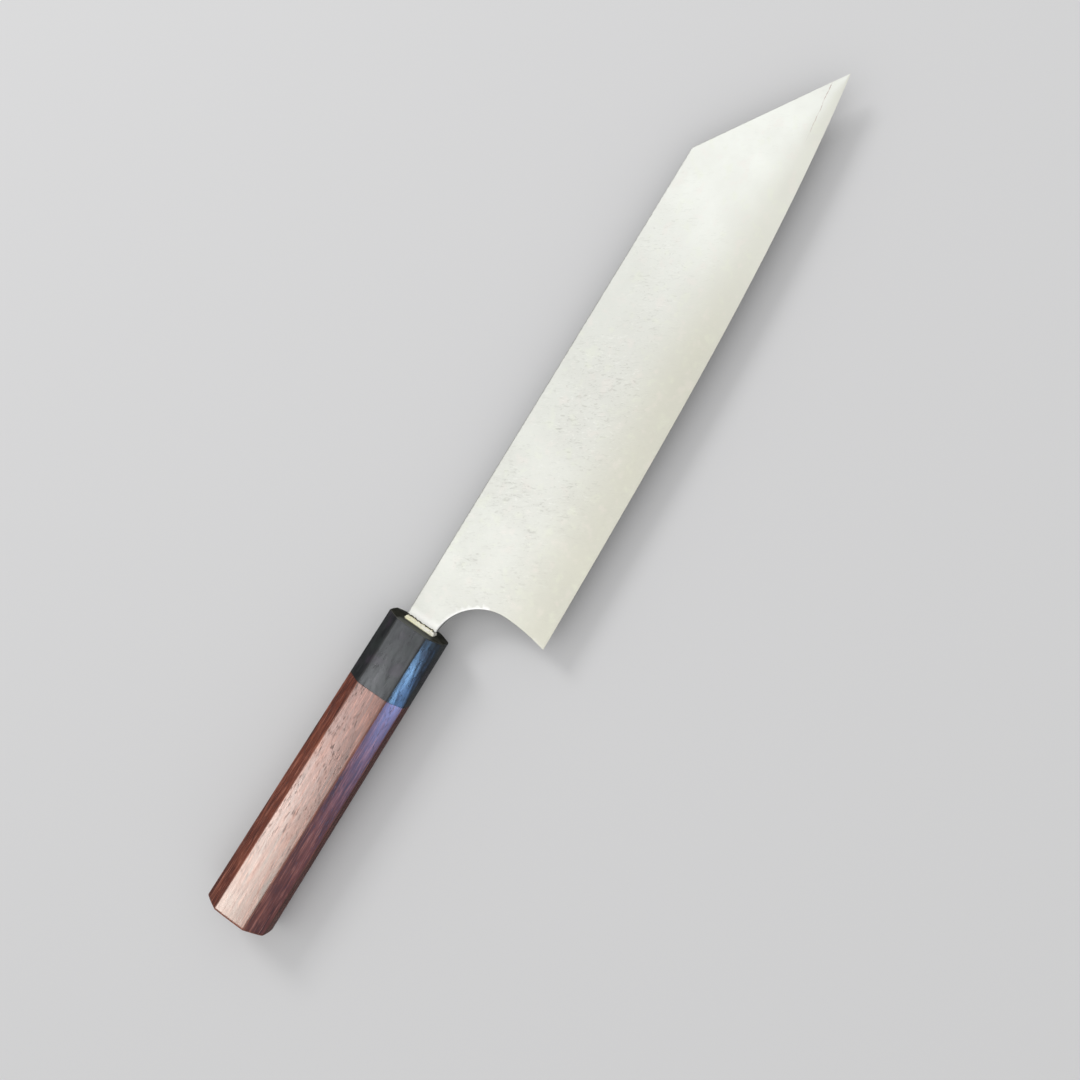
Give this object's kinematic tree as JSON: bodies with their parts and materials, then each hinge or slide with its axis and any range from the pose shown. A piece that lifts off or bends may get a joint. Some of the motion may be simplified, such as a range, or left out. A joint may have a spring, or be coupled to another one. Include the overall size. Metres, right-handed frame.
{
  "type": "gyuto kitchen knife",
  "caption": "Chef's knife with a laminated wedge blade, straight clipped tip and round choil, on a hidden tang in an octagonal wood handle with a dark horn collar.",
  "frame": {"origin": "middle of the underside of the knife's box: the knife lies on its left side, and z = 0 is the butt's lowest facet edge", "axes": "+X from the handle to the tip, +Y from the cutting edge to the spine, +Z out of the blade's right face"},
  "size_m": [0.35, 0.0526, 0.0202],
  "materials": {
    "core_steel": "satin, honed along the edge",
    "cladding_steel": "fine blasted matte",
    "cream_filler": "hardened resin, semi-matte",
    "horn": "polished dark horn with fine lengthwise streaks",
    "dowel_wood": "bare pale wood",
    "bedding": "hardened filler",
    "rosewood": "fine sanded and oiled, open pores"
  },
  "bodies": {
    "root": {"blade_core": "core_steel", "blade_cladding_right": "cladding_steel", "blade_cladding_left": "cladding_steel", "tang_seal": "cream_filler", "ferrule": "horn", "handle_dowel": "dowel_wood", "tang_bedding": "bedding", "handle_body": "rosewood"}
  },
  "joints": []
}
